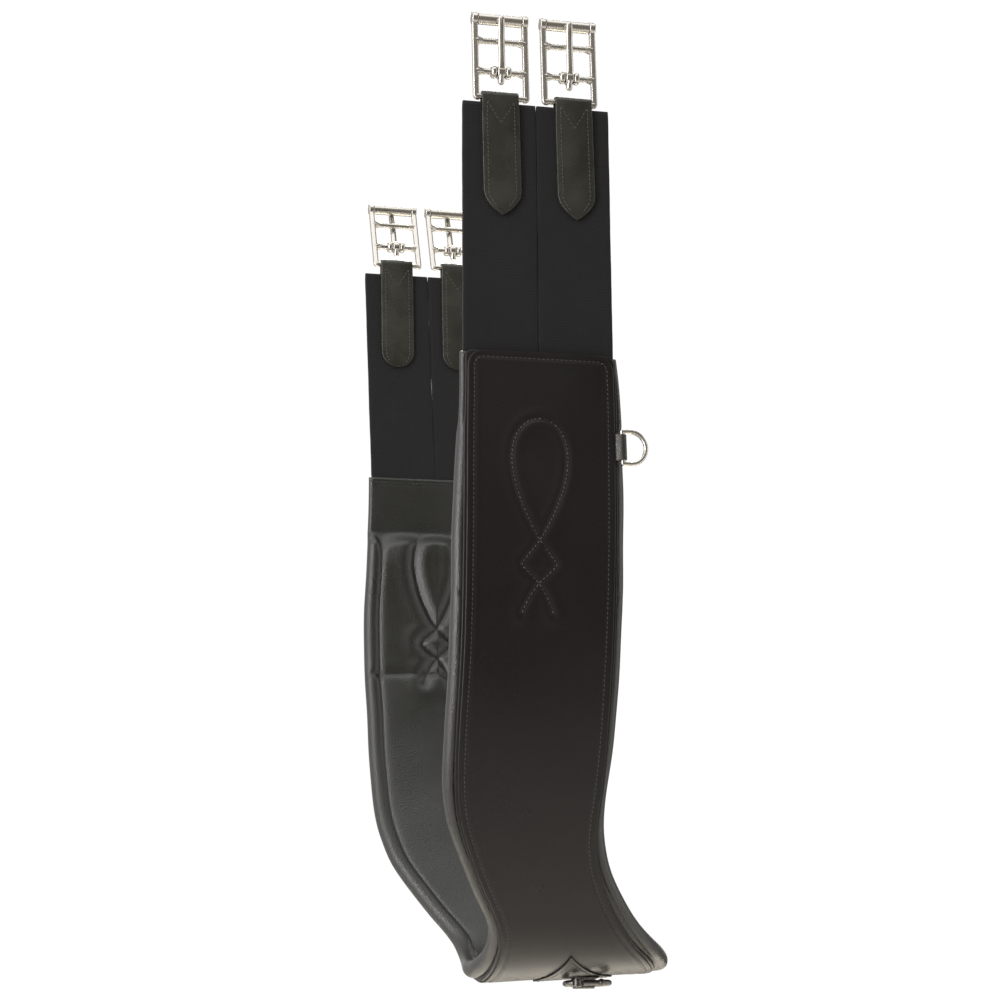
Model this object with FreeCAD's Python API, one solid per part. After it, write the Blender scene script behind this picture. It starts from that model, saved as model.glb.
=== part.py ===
import FreeCAD, Part
import math
import os

# Long saddle girth hanging in a U.  Units are millimetres.
# X runs across the girth, Y from the front leg (-Y) to the rear leg (+Y), Z up.
# The two legs are the same apart from their straps: the elastics lean a little to one
# side, and at the rear they stand a little lower and the buckles lean outward.
# So each rear piece is a front piece mirrored in Y.
# Heights below are measured from the lowest face.  save() then lowers every piece
# so that Z = 0 is level with the front rollers, where the saddle's billets hold it.
# s is the distance along the girth from the middle of the bend.
# n is the distance outward from the girth's middle layer, away from the horse.

# Shape of the U, followed by the girth's middle layer
BEND_RADIUS = 78.6
LEG_LEAN = math.radians(37.2)
LEAN_LENGTH = 10.0
LEG_RADIUS = 432.0
BODY_HALF = 451.0
HALF_GAP = 0.15

# Layers, as distances n from the middle layer
PATCH_OUT = 9.8
PANEL_OUT = 8.7
PANEL_IN = 7.35
BASE_OUT = 7.15
BASE_IN = 6.0
LIP_OUT = 5.8
LIP_IN = 4.6
PADDING_GAP = 0.4
SKIN = -8.0
HEM_SKIN = -0.2
LINING_THICK = 1.2
HEM_START = 400.0
HEM_END = 412.0

# Elastic straps and buckle tabs: X of the pair's middle at the body and at the top
STRAP_PITCH = 51.2
PAIR_FOOT = -1.7
PAIR_TOP = {"front": 1.2, "rear": -5.6}
TAB_X = {"front_left": -23.9, "front_right": 27.3, "rear_left": -31.0, "rear_right": 18.6}
BUCKLE_X = {"front_left": -22.6, "front_right": 25.3, "rear_left": -30.0, "rear_right": 17.0}
ELASTIC_WIDTH = 50.8
ELASTIC_THICK = 3.0
ELASTIC_N = 2.9
ELASTIC_FOOT = 357.0
ELASTIC_TOP = 574.0
ELASTIC_DROP = {"front": 0.0, "rear": 8.5}
TAB_WIDTH = 26.0
TAB_THICK = 2.0
TAB_TIP = 493.0
TAB_DROP = {"front": 0.0, "rear": 4.0}
BUCKLE_LEAN = {"front": 0.0, "rear": 19.0}

# Roller buckle, measured up from its strap bar
STRAP_BAR_Z = 578.5
TONGUE_BAR = 18.5
REST_BAR = 41.0
ROLLER = 57.0
FRAME_TOP = 61.5
FRAME_HALF = 19.6
RAIL_WIDTH = 4.2
RAIL_THICK = 3.6
BAR_R = 2.0
ROLLER_R = 3.8
RUN_FIT = 0.05

# Side rings
RING_Z = 335.0
RING_R = 11.0
RING_WIRE = 1.5
RING_X = 52.5
RING_N = 7.9
RING_SHANK = 5.0

# Clip under the middle: its bar lies along X, its gate is the side nearest the front leg
CLIP_X = 60.0
CLIP_Z = -1.5
CLIP_WIRE = 2.0
BAR_Y = -6.0
GATE_Y = -24.0
HINGE_X = CLIP_X - 9.5

# The bend's bulged side stands higher than the other: rise per mm of X, fading along s
TILT = 0.049
TILT_LENGTH = 50.0

# Outlines of the layers: (s, X).  The ends stand on X = 0 and the middle is
# set forward of them, which leaves room for the horse's elbows.
ROLL_LEFT = [(0, -20), (13, -19.8), (30, -17.5), (52, -16.6), (61, -17.8), (70, -21.1),
             (85, -29.2), (100, -36.7), (122, -47.2), (136, -53.2), (150, -57), (163, -59.5),
             (183, -61.2), (230, -61.2), (280, -61.1), (344, -60.2), (391, -57.2),
             (418, -55.6), (452, -54.8)]
ROLL_RIGHT = [(0, 120), (15, 118), (28, 112.5), (41, 105), (61, 88.8), (77, 76.8),
              (93, 66.8), (108, 59), (122, 54), (137, 50.8), (151, 49.9), (170, 50.2),
              (192, 51.3), (218, 52.2), (270, 53.1), (322, 53.7), (376, 54.6), (403, 53.9),
              (432, 53), (452, 51.4)]
PANEL_LEFT = [(0, -9.5), (20, -9.3), (42, -8.8), (52, -9.2), (60, -10.6), (70, -14),
              (79, -18.2), (90, -23.8), (105, -31.7), (119, -37.9), (133, -43.9),
              (146, -48.4), (160, -51.2), (186, -53.4), (249, -53.6), (311, -53.5),
              (363, -52.8), (396, -52), (430, -51), (452, -50.6)]
PANEL_RIGHT = [(0, 108), (14, 106.5), (28, 101), (41, 93), (51, 84), (60, 76.4), (75, 65.4),
               (90, 57), (105, 50), (119, 45.6), (133, 43.4), (147, 43.1), (160, 43.6),
               (187, 44.3), (226, 44.6), (289, 45.3), (360, 46.6), (421, 48), (452, 48)]
STATIONS = [HALF_GAP, 12, 24, 36, 48, 60, 71, 82, 94, 107, 120, 134, 148, 163, 180, 200,
            225, 252, 280, 308, 335, 360, 380, HEM_START]
HEM_STATIONS = [HEM_START, 402, 404, 406, 408, 410, HEM_END, BODY_HALF]

V = FreeCAD.Vector


def spline(points):
    """Smooth curve through (s, x) points, level at s = 0 because the girth is symmetric."""
    s = [-p[0] for p in points[:0:-1]] + [p[0] for p in points]
    x = [p[1] for p in points[:0:-1]] + [p[1] for p in points]
    count = len(s)
    step = [s[i + 1] - s[i] for i in range(count - 1)]
    bend = [0.0] * count
    diag = [1.0] * count
    rhs = [0.0] * count
    for i in range(1, count - 1):
        lower = step[i - 1]
        slope = (x[i + 1] - x[i]) / step[i] - (x[i] - x[i - 1]) / step[i - 1]
        factor = lower / diag[i - 1] if i > 1 else 0.0
        diag[i] = 2.0 * (step[i - 1] + step[i]) - (factor * step[i - 1] if i > 1 else 0.0)
        rhs[i] = 6.0 * slope - factor * rhs[i - 1]
    for i in range(count - 2, 0, -1):
        bend[i] = (rhs[i] - (step[i] * bend[i + 1] if i < count - 2 else 0.0)) / diag[i]

    def value(at):
        i = 0
        while i < count - 2 and at > s[i + 1]:
            i += 1
        h = step[i]
        a = (s[i + 1] - at) / h
        b = (at - s[i]) / h
        curve = (a ** 3 - a) * bend[i] + (b ** 3 - b) * bend[i + 1]
        return a * x[i] + b * x[i + 1] + curve * h * h / 6.0

    return value


roll_left = spline(ROLL_LEFT)
roll_right = spline(ROLL_RIGHT)
panel_left = spline(PANEL_LEFT)
panel_right = spline(PANEL_RIGHT)


def middle(s):
    """Half gap, height and slope of the middle layer at distance s along the girth."""
    slope = math.pi / 2 - LEG_LEAN
    gap, height = 0.0, PANEL_OUT
    if s < BEND_RADIUS * slope:
        a = s / BEND_RADIUS
        return gap + BEND_RADIUS * math.sin(a), height + BEND_RADIUS * (1 - math.cos(a)), a
    gap += BEND_RADIUS * math.sin(slope)
    height += BEND_RADIUS * (1 - math.cos(slope))
    s -= BEND_RADIUS * slope
    if s < LEAN_LENGTH:
        return gap + s * math.cos(slope), height + s * math.sin(slope), slope
    gap += LEAN_LENGTH * math.cos(slope)
    height += LEAN_LENGTH * math.sin(slope)
    s -= LEAN_LENGTH
    if s < LEG_RADIUS * LEG_LEAN:
        a = slope + s / LEG_RADIUS
        gap += LEG_RADIUS * (math.sin(a) - math.sin(slope))
        height += LEG_RADIUS * (math.cos(slope) - math.cos(a))
        return gap, height, a
    gap += LEG_RADIUS * (1 - math.sin(slope))
    height += LEG_RADIUS * math.cos(slope)
    return gap, height + s - LEG_RADIUS * LEG_LEAN, math.pi / 2


def ease(t):
    """Smooth step from 0 to 1."""
    t = min(1.0, max(0.0, t))
    return t * t * (3 - 2 * t)


def rise(s, x):
    """Height added near the lowest point, where the girth bulges to one side."""
    return TILT * (x + 10.0) * ease(1.0 - s / TILT_LENGTH)


LEG_GAP = middle(BODY_HALF)[0]
BODY_TOP = middle(BODY_HALF)[1]


def place(s, x, n):
    """Point of the front leg at distance s, position x across and n outward."""
    gap, height, a = middle(s)
    return V(x, -(gap + n * math.sin(a)), height - n * math.cos(a) + rise(s, x))


def leg_y(n):
    """Y of a layer in the upright upper part of the front leg."""
    return -(LEG_GAP + n)


def loft(section, stations, straight=False):
    """Solid through closed sections; section(s) gives (x, n) corner points."""
    wires = []
    for s in stations:
        points = [place(s, x, n) for x, n in section(s)]
        wires.append(Part.makePolygon(points + [points[0]]))
    return Part.makeLoft(wires, True, straight)


def slab(left, right, n_in, n_out, stations, margin=0.0):
    """Flat layer between two outlines."""
    def section(s):
        x0 = left(s) - margin
        x1 = right(s) + margin
        return [(x0, n_in), (x1, n_in), (x1, n_out), (x0, n_out)]
    return loft(section, stations)


def box(x0, x1, y0, y1, z0, z1):
    return Part.makeBox(x1 - x0, y1 - y0, z1 - z0, V(x0, y0, z0))


def rod(start, end, radius):
    axis = end - start
    return Part.makeCylinder(radius, axis.Length, start, axis)


def corner_cutters(x0, x1, top, radius, y0, y1):
    """Pieces that round the two upper corners of an upright panel."""
    cutters = []
    for x, inward in ((x0, 1), (x1, -1)):
        cx = x + inward * radius
        block = box(min(x - inward * 2, cx), max(x - inward * 2, cx), y0, y1, top - radius, top + 2)
        cutters.append(block.cut(Part.makeCylinder(radius, y1 - y0, V(cx, y0, top - radius), V(0, 1, 0))))
    return cutters


def skin_side(s):
    """Distance n of the face against the horse: padded, then thin at the sewn hem."""
    return SKIN + (HEM_SKIN - SKIN) * ease((s - HEM_START) / (HEM_END - HEM_START))


def rolled_outline(s, inset):
    """Outline of the padded body's section with round edges, set in by inset."""
    low = skin_side(s) + inset
    high = LIP_OUT - inset
    radius = (high - low) / 2
    mid = (high + low) / 2
    points = []
    for i in range(7):
        a = math.pi / 2 + math.pi * i / 6
        points.append((roll_left(s) + inset + radius + radius * math.cos(a), mid + radius * math.sin(a)))
    for i in range(7):
        a = -math.pi / 2 + math.pi * i / 6
        points.append((roll_right(s) - inset - radius + radius * math.cos(a), mid + radius * math.sin(a)))
    return points


def lining_section(s):
    """Lining wrapped round both edges, with a lip turned onto the outer face."""
    lip_left = roll_left(s) + 13.0
    lip_right = roll_right(s) - 13.0
    outer = [(lip_left, LIP_OUT)] + rolled_outline(s, 0.0) + [(lip_right, LIP_OUT)]
    inner = [(lip_left, LIP_IN)] + rolled_outline(s, LINING_THICK) + [(lip_right, LIP_IN)]
    return outer + inner[::-1]


def padding_section(s):
    return rolled_outline(s, LINING_THICK + PADDING_GAP)


def body_layers():
    """The sewn layers of one half of the girth body."""
    lining = loft(lining_section, STATIONS).fuse(loft(lining_section, HEM_STATIONS, True))
    padding = loft(padding_section, STATIONS)
    webbing = slab(lambda s: roll_left(s) + 14, lambda s: roll_right(s) - 14,
                   LIP_IN, LIP_OUT, STATIONS + [415, 430])
    full_length = STATIONS + [418, 435, BODY_HALF]
    base = slab(panel_left, panel_right, BASE_IN, BASE_OUT, full_length, 2.0)
    panel = slab(panel_left, panel_right, PANEL_IN, PANEL_OUT, full_length)
    for cutter in corner_cutters(panel_left(BODY_HALF), panel_right(BODY_HALF), BODY_TOP, 11.0,
                                 leg_y(12), leg_y(6)):
        panel = panel.cut(cutter)
    return lining, padding, webbing, base, panel


def patch():
    """Half of the sewn-on diamond under the middle of the bend."""
    def section(s):
        t = max(0.02, 1.0 - s / 46.0)
        half = 28.0 * t
        centre = 54.0 - 14.0 * s / 46.0
        return [(centre - half, PANEL_OUT + 0.2), (centre + half, PANEL_OUT + 0.2),
                (centre + half, PATCH_OUT), (centre - half, PATCH_OUT)]
    return loft(section, [HALF_GAP, 9, 18, 27, 36, 45])


def elastic(end, side):
    """One woven elastic strap, its foot sewn inside the body, leaning a little sideways."""
    y = leg_y(ELASTIC_N)
    foot = PAIR_FOOT + side * STRAP_PITCH / 2
    top = PAIR_TOP[end] + side * STRAP_PITCH / 2
    half = ELASTIC_WIDTH / 2
    height = ELASTIC_TOP - ELASTIC_DROP[end]
    corners = [(foot - half, ELASTIC_FOOT), (foot + half, ELASTIC_FOOT), (foot + half, BODY_TOP),
               (top + half, height), (top - half, height), (foot - half, BODY_TOP)]
    points = [V(x, y - ELASTIC_THICK / 2, z) for x, z in corners]
    return Part.Face(Part.makePolygon(points + [points[0]])).extrude(V(0, ELASTIC_THICK, 0))


def buckle_tab(cx):
    """Leather tab folded over the strap bar: pointed outside, round inside."""
    y = leg_y(ELASTIC_N)
    inner_r = BAR_R + RUN_FIT
    outer_r = inner_r + TAB_THICK
    half = TAB_WIDTH / 2
    ring = Part.makeCylinder(outer_r, TAB_WIDTH, V(cx - half, y, STRAP_BAR_Z), V(1, 0, 0))
    ring = ring.cut(Part.makeCylinder(inner_r, TAB_WIDTH, V(cx - half, y, STRAP_BAR_Z), V(1, 0, 0)))
    fold = ring.common(box(cx - half, cx + half, y - 9, y + 9, STRAP_BAR_Z, STRAP_BAR_Z + 9))
    profile = [(-half, STRAP_BAR_Z), (-half, TAB_TIP + 15), (-half + 3, TAB_TIP + 8.5),
               (-4.5, TAB_TIP + 1.2), (0, TAB_TIP), (4.5, TAB_TIP + 1.2),
               (half - 3, TAB_TIP + 8.5), (half, TAB_TIP + 15), (half, STRAP_BAR_Z)]
    points = [V(cx + x, y - outer_r, z) for x, z in profile]
    outside = Part.Face(Part.makePolygon(points + [points[0]])).extrude(V(0, TAB_THICK, 0))
    inside = box(cx - half, cx + half, y + inner_r, y + outer_r, TAB_TIP + half - 1.5, STRAP_BAR_Z)
    end = Part.makeCylinder(half, TAB_THICK, V(cx, y + inner_r, TAB_TIP + half - 1.5), V(0, 1, 0))
    return fold.fuse([outside, inside, end]).removeSplitter()


def flared_bar(cx, z, half):
    """Cross bar that widens where it runs into the two rails."""
    y = leg_y(ELASTIC_N)
    parts = [rod(V(cx - half - 2, y, z), V(cx + half + 2, y, z), BAR_R)]
    for side in (-1, 1):
        start = V(cx + side * (half - 3.4), y, z)
        parts.append(Part.makeCone(BAR_R * 0.98, 3.1, 3.6, start, V(side, 0, 0)))
    return parts


def buckle_frame(cx):
    """Cast frame of the roller buckle: two rails and four cross bars."""
    y = leg_y(ELASTIC_N)
    z = STRAP_BAR_Z
    inner = FRAME_HALF - RAIL_WIDTH
    parts = []
    for side in (-1, 1):
        x0 = cx + (inner if side > 0 else -FRAME_HALF)
        rail = box(x0, x0 + RAIL_WIDTH, y - RAIL_THICK / 2, y + RAIL_THICK / 2, z - 2.4, z + FRAME_TOP)
        outer_x = cx + side * FRAME_HALF
        corner = [e for e in rail.Edges if abs(e.BoundBox.ZMax - z + 2.4) < 0.1
                  and abs(e.BoundBox.XMin - outer_x) < 0.1 and e.BoundBox.YLength > 1]
        rail = rail.makeFillet(3.0, corner)
        rail = rail.makeFillet(1.3, [e for e in rail.Edges if e.BoundBox.YLength < RAIL_THICK - 0.1])
        ear = Part.makeCylinder(4.1, RAIL_WIDTH, V(x0, y, z + ROLLER), V(1, 0, 0))
        parts += [rail, ear.makeFillet(0.8, ear.Edges[:1] + ear.Edges[2:3])]
    for height in (TONGUE_BAR, REST_BAR):
        parts += flared_bar(cx, z + height, inner)
    for height in (0.0, ROLLER):
        parts.append(rod(V(cx - inner - 2, y, z + height), V(cx + inner + 2, y, z + height), BAR_R))
    for side in (-1, 1):
        collar = rod(V(cx + side * 3.0, y, z + TONGUE_BAR), V(cx + side * 6.9, y, z + TONGUE_BAR), 4.3)
        parts.append(collar.makeFillet(1.5, collar.Edges[:1] + collar.Edges[2:3]))
    return parts[0].fuse(parts[1:]).removeSplitter()


def roller(cx):
    """Loose tube on the top bar, which lets the billet strap run."""
    y = leg_y(ELASTIC_N)
    half = FRAME_HALF - RAIL_WIDTH - 0.3
    z = STRAP_BAR_Z + ROLLER
    tube = rod(V(cx - half, y, z), V(cx + half, y, z), ROLLER_R)
    return tube.cut(rod(V(cx - half, y, z), V(cx + half, y, z), BAR_R + RUN_FIT))


def oval(x, y, z, half_x, half_y):
    """Level closed curve, used as a section of the tongue."""
    turns = [2 * math.pi * i / 12 for i in range(12)]
    curve = Part.BSplineCurve()
    curve.interpolate([V(x + half_x * math.cos(a), y + half_y * math.sin(a), z) for a in turns], True)
    return Part.Wire(curve.toShape())


def tongue(cx):
    """Buckle tongue: an eye on its bar with a tapered heel, and a round shank over the roller."""
    y = leg_y(ELASTIC_N)
    z = STRAP_BAR_Z
    eye = rod(V(cx - 2.65, y, z + TONGUE_BAR), V(cx + 2.65, y, z + TONGUE_BAR), 4.6)
    eye = eye.makeFillet(1.0, eye.Edges[:1] + eye.Edges[2:3])
    heel_sections = [(9.6, 0.3, 1.2, 0.9), (10.6, 0.3, 1.9, 1.7), (12.5, 0.3, 2.2, 2.7),
                     (16.5, 0.3, 2.4, 3.6)]
    shank_sections = [(20.5, 3.7, 2.3, 1.2), (24, 4.0, 2.3, 1.4), (30, 4.1, 2.25, 1.5), (41, 4.25, 2.25, 1.5),
                      (48, 4.95, 2.2, 1.45), (52.5, 5.55, 2.2, 1.4), (55, 5.55, 2.15, 1.35),
                      (56.8, 5.5, 1.8, 1.15), (57.6, 5.45, 1.1, 0.75)]
    parts = []
    for sections in (heel_sections, shank_sections):
        wires = [oval(cx, y - out, z + up, half_x, half_y) for up, out, half_x, half_y in sections]
        parts.append(Part.makeLoft(wires, True, False))
    hole = rod(V(cx - 4, y, z + TONGUE_BAR), V(cx + 4, y, z + TONGUE_BAR), BAR_R + RUN_FIT)
    return eye.fuse(parts).cut(hole)


def side_keeper():
    """Leather loop sewn in under the outer panel's edge, holding the side ring."""
    tail_y = leg_y(6.6)
    y = leg_y(RING_N)
    bore = RING_WIRE + RUN_FIT
    tail = box(40, RING_X - 2.4, tail_y - 0.55, tail_y + 0.55, RING_Z - 9.2, RING_Z + 9.2)
    neck = box(RING_X - 3, RING_X, y - 0.6, tail_y + 0.55, RING_Z - 8.6, RING_Z + 8.6)
    loop = Part.makeCylinder(bore + 1.3, 17.2, V(RING_X, y, RING_Z - 8.6))
    hole = Part.makeCylinder(bore, 21, V(RING_X, y, RING_Z - 10.5))
    return tail.fuse([neck, loop]).cut(hole)


def side_ring():
    """D-ring: an upright bar in the keeper, two short shanks and a half circle."""
    y = leg_y(RING_N)
    bend_x = RING_X + RING_SHANK
    parts = [rod(V(RING_X, y, RING_Z - RING_R), V(RING_X, y, RING_Z + RING_R), RING_WIRE)]
    for side in (-1, 1):
        corner = V(RING_X, y, RING_Z + side * RING_R)
        parts.append(Part.makeSphere(RING_WIRE, corner))
        parts.append(rod(corner, V(bend_x, y, RING_Z + side * RING_R), RING_WIRE))
    wire = Part.Wire(Part.makeCircle(RING_WIRE, V(bend_x, y, RING_Z - RING_R), V(1, 0, 0)))
    parts.append(Part.Face(wire).revolve(V(bend_x, y, RING_Z), V(0, -1, 0), 180))
    return parts[0].fuse(parts[1:])


def clip_keeper():
    """Leather loop sewn to the diamond patch, holding the clip's bar."""
    bore = CLIP_WIRE + RUN_FIT
    half = 7.5

    def foot_section(s):
        return [(CLIP_X - half, PATCH_OUT + 0.5), (CLIP_X + half, PATCH_OUT + 0.5),
                (CLIP_X + half, PATCH_OUT + 1.6), (CLIP_X - half, PATCH_OUT + 1.6)]

    foot = loft(foot_section, [HALF_GAP, 4, 8, 12, 16])
    start = V(CLIP_X - half, BAR_Y, CLIP_Z)
    loop = Part.makeCylinder(bore + 1.3, 2 * half, start, V(1, 0, 0))
    neck = box(CLIP_X - half, CLIP_X + half, BAR_Y - 1.6, BAR_Y + 1.6, CLIP_Z + bore, CLIP_Z + 3.3)
    hole = Part.makeCylinder(bore, 2 * half, start, V(1, 0, 0))
    return foot.fuse([neck, loop]).cut(hole)


def clip_body():
    """Open loop of the clip: bar, two round corners, a nose and the gate's cheeks."""
    r = 7.0
    left, right = CLIP_X - 14.5, CLIP_X + 14.5
    z = CLIP_Z
    c = r * math.sqrt(0.5)
    nose = V(right - r, GATE_Y, z)
    path = [
        Part.Arc(nose, V(right - r + c, GATE_Y + r - c, z), V(right, GATE_Y + r, z)).toShape(),
        Part.makeLine(V(right, GATE_Y + r, z), V(right, BAR_Y - r, z)),
        Part.Arc(V(right, BAR_Y - r, z), V(right - r + c, BAR_Y - r + c, z),
                 V(right - r, BAR_Y, z)).toShape(),
        Part.makeLine(V(right - r, BAR_Y, z), V(left + r, BAR_Y, z)),
        Part.Arc(V(left + r, BAR_Y, z), V(left + r - c, BAR_Y - r + c, z), V(left, BAR_Y - r, z)).toShape(),
        Part.makeLine(V(left, BAR_Y - r, z), V(left, GATE_Y + 5, z)),
        Part.Arc(V(left, GATE_Y + 5, z), V(left + 1.5, GATE_Y + 1.5, z), V(left + 5, GATE_Y, z)).toShape(),
    ]
    circle = Part.Wire(Part.makeCircle(CLIP_WIRE, nose, V(-1, 0, 0)))
    loop = Part.Wire(path).makePipeShell([circle], True, True)
    tip = Part.makeSphere(2.6, nose)
    cheeks = Part.makeCylinder(3.2, 5.2, V(HINGE_X, GATE_Y, z - 2.6))
    cheeks = cheeks.makeFillet(0.7, cheeks.Edges[:1] + cheeks.Edges[2:3])
    slot = box(HINGE_X - 3.3, HINGE_X + 6, GATE_Y - 4, GATE_Y + 6, z - 1.4, z + 1.4)
    pin = Part.makeCylinder(1.0, 8, V(HINGE_X, GATE_Y, z - 4))
    seat = box(nose.x - 6, nose.x - 1.8, GATE_Y - 4, GATE_Y + 4, z - 4, z + 4)
    return loop.fuse([tip, cheeks]).cut(slot.fuse([pin, seat]))


def clip_gate():
    """Gate bar between the cheeks and the nose."""
    z = CLIP_Z
    end = CLIP_X + 14.5 - 7.0 - 2.1
    eye = Part.makeCylinder(2.7, 2.2, V(HINGE_X, GATE_Y, z - 1.1))
    bar = rod(V(HINGE_X + 4.1, GATE_Y, z), V(end, GATE_Y, z), 1.8)
    web = box(HINGE_X + 2, HINGE_X + 5, GATE_Y - 1.4, GATE_Y + 1.4, z - 1.1, z + 1.1)
    hole = Part.makeCylinder(1.0 + RUN_FIT, 8, V(HINGE_X, GATE_Y, z - 4))
    return eye.fuse([bar, web]).cut(hole)


def gate_rivet():
    """Pin of the gate, peened over both cheeks."""
    z = CLIP_Z
    shank = Part.makeCylinder(1.0, 5.2, V(HINGE_X, GATE_Y, z - 2.6))
    heads = [Part.makeCylinder(1.8, 0.4, V(HINGE_X, GATE_Y, z + up)) for up in (-3.0, 2.6)]
    return shank.fuse(heads)


def save(name, shape):
    shape = shape.translated(V(0, 0, -STRAP_BAR_Z - ROLLER))
    if shape.ShapeType == "Compound" and len(shape.Solids) == 1:
        shape = shape.Solids[0]
    shape.exportStep("parts/" + name + ".step")


def mirrored(shape):
    """The same piece on the rear leg."""
    return shape.mirror(V(0, 0, 0), V(0, 1, 0))


def save_pair(name, shape):
    """Save the front piece and its mirror image on the rear leg."""
    save("front_" + name, shape)
    save("rear_" + name, mirrored(shape))


os.makedirs("parts", exist_ok=True)

lining, padding, webbing, base, panel = body_layers()
pocket = box(39.5, 60, leg_y(7.4), leg_y(5.8), RING_Z - 9.6, RING_Z + 9.6)
save_pair("lining", lining)
save_pair("padding", padding)
save_pair("webbing", webbing)
save_pair("base_leather", base.cut(pocket))
save_pair("outer_panel", panel)
save_pair("middle_patch", patch())
save_pair("ring_keeper", side_keeper())
save_pair("side_ring", side_ring())

for end, turn in (("front", lambda shape: shape), ("rear", mirrored)):
    bar = V(0, leg_y(ELASTIC_N), STRAP_BAR_Z)
    lower = V(0, 0, -TAB_DROP[end])
    for side, sign in (("left", -1), ("right", 1)):
        name = end + "_" + side
        save(name + "_elastic", turn(elastic(end, sign)))
        save(name + "_buckle_tab", turn(buckle_tab(TAB_X[name])).translated(lower))
        for piece, make in (("frame", buckle_frame), ("roller", roller), ("tongue", tongue)):
            shape = make(BUCKLE_X[name]).rotated(bar, V(1, 0, 0), BUCKLE_LEAN[end])
            save(name + "_buckle_" + piece, turn(shape).translated(lower))

save("clip_keeper", clip_keeper())
save("clip_body", clip_body())
save("clip_gate", clip_gate())
save("gate_rivet", gate_rivet())
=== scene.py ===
import bmesh
import bpy
import math
import numpy as np
from mathutils import Matrix, Vector


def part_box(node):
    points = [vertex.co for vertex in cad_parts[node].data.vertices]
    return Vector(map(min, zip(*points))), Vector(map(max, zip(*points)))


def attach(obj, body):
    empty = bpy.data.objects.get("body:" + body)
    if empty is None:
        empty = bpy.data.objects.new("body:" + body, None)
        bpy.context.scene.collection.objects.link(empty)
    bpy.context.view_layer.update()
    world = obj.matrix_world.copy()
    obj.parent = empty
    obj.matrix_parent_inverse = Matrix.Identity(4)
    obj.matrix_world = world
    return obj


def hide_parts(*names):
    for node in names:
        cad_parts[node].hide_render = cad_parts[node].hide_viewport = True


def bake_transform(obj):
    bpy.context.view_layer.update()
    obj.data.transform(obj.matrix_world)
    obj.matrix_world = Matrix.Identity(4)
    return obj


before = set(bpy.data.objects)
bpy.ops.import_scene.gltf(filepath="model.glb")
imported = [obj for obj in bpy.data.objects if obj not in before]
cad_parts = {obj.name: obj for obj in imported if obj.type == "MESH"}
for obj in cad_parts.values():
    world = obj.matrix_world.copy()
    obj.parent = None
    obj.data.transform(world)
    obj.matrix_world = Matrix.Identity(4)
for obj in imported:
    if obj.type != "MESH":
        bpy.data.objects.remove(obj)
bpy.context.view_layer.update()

MM = 0.001

# ---------------------------------------------------------------- measures taken from the frame
BODY_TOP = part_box("front_outer_panel")[1][2] * 1000.0
LOW = BODY_TOP - 397.02
STRAP_Y = {}
STRAP_X = {}
TAB_X = {}
ELASTIC_TOP = {}
TAB_TIP = {}
STRAP_BAR = {}
for end in ("front", "rear"):
    ELASTIC_TOP[end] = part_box(end + "_left_elastic")[1][2] * 1000.0
    TAB_TIP[end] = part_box(end + "_left_buckle_tab")[0][2] * 1000.0
    STRAP_BAR[end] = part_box(end + "_left_buckle_tab")[1][2] * 1000.0 - 4.05
    for side in ("left", "right"):
        name = end + "_" + side
        low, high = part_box(name + "_elastic")
        STRAP_Y[end] = (low[1] + high[1]) * 500.0
        ends = (low[0] * 1000.0 + 25.4, high[0] * 1000.0 - 25.4)
        STRAP_X[name] = ends if end == "front" else ends[::-1]
        low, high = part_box(name + "_buckle_tab")
        TAB_X[name] = (low[0] + high[0]) * 500.0
ELASTIC_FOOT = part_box("front_left_elastic")[0][2] * 1000.0

# ---------------------------------------------------------------- the U and its outlines, in millimetres
# s runs along the girth from its lowest point, front leg positive; x runs across it.
MIDDLE_LIFT = 8.7
BEND_RADIUS = 78.6
LEG_LEAN = math.radians(37.2)
LEAN_LENGTH = 10.0
LEG_RADIUS = 432.0
BODY_HALF = 451.0
SLOPE = math.pi / 2 - LEG_LEAN

# (s, x) points along the rolled edges and along the outer panel's edges
ROLL_LEFT = [(0, -20), (13, -19.8), (30, -17.5), (52, -16.6), (61, -17.8), (70, -21.1),
             (85, -29.2), (100, -36.7), (122, -47.2), (136, -53.2), (150, -57), (163, -59.5),
             (183, -61.2), (230, -61.2), (280, -61.1), (344, -60.2), (391, -57.2),
             (418, -55.6), (452, -54.8)]
ROLL_RIGHT = [(0, 120), (15, 118), (28, 112.5), (41, 105), (61, 88.8), (77, 76.8),
              (93, 66.8), (108, 59), (122, 54), (137, 50.8), (151, 49.9), (170, 50.2),
              (192, 51.3), (218, 52.2), (270, 53.1), (322, 53.7), (376, 54.6), (403, 53.9),
              (432, 53), (452, 51.4)]
PANEL_LEFT = [(0, -9.5), (20, -9.3), (42, -8.8), (52, -9.2), (60, -10.6), (70, -14),
              (79, -18.2), (90, -23.8), (105, -31.7), (119, -37.9), (133, -43.9),
              (146, -48.4), (160, -51.2), (186, -53.4), (249, -53.6), (311, -53.5),
              (363, -52.8), (396, -52), (430, -51), (452, -50.6)]
PANEL_RIGHT = [(0, 108), (14, 106.5), (28, 101), (41, 93), (51, 84), (60, 76.4), (75, 65.4),
               (90, 57), (105, 50), (119, 45.6), (133, 43.4), (147, 43.1), (160, 43.6),
               (187, 44.3), (226, 44.6), (289, 45.3), (360, 46.6), (421, 48), (452, 48)]


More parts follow.
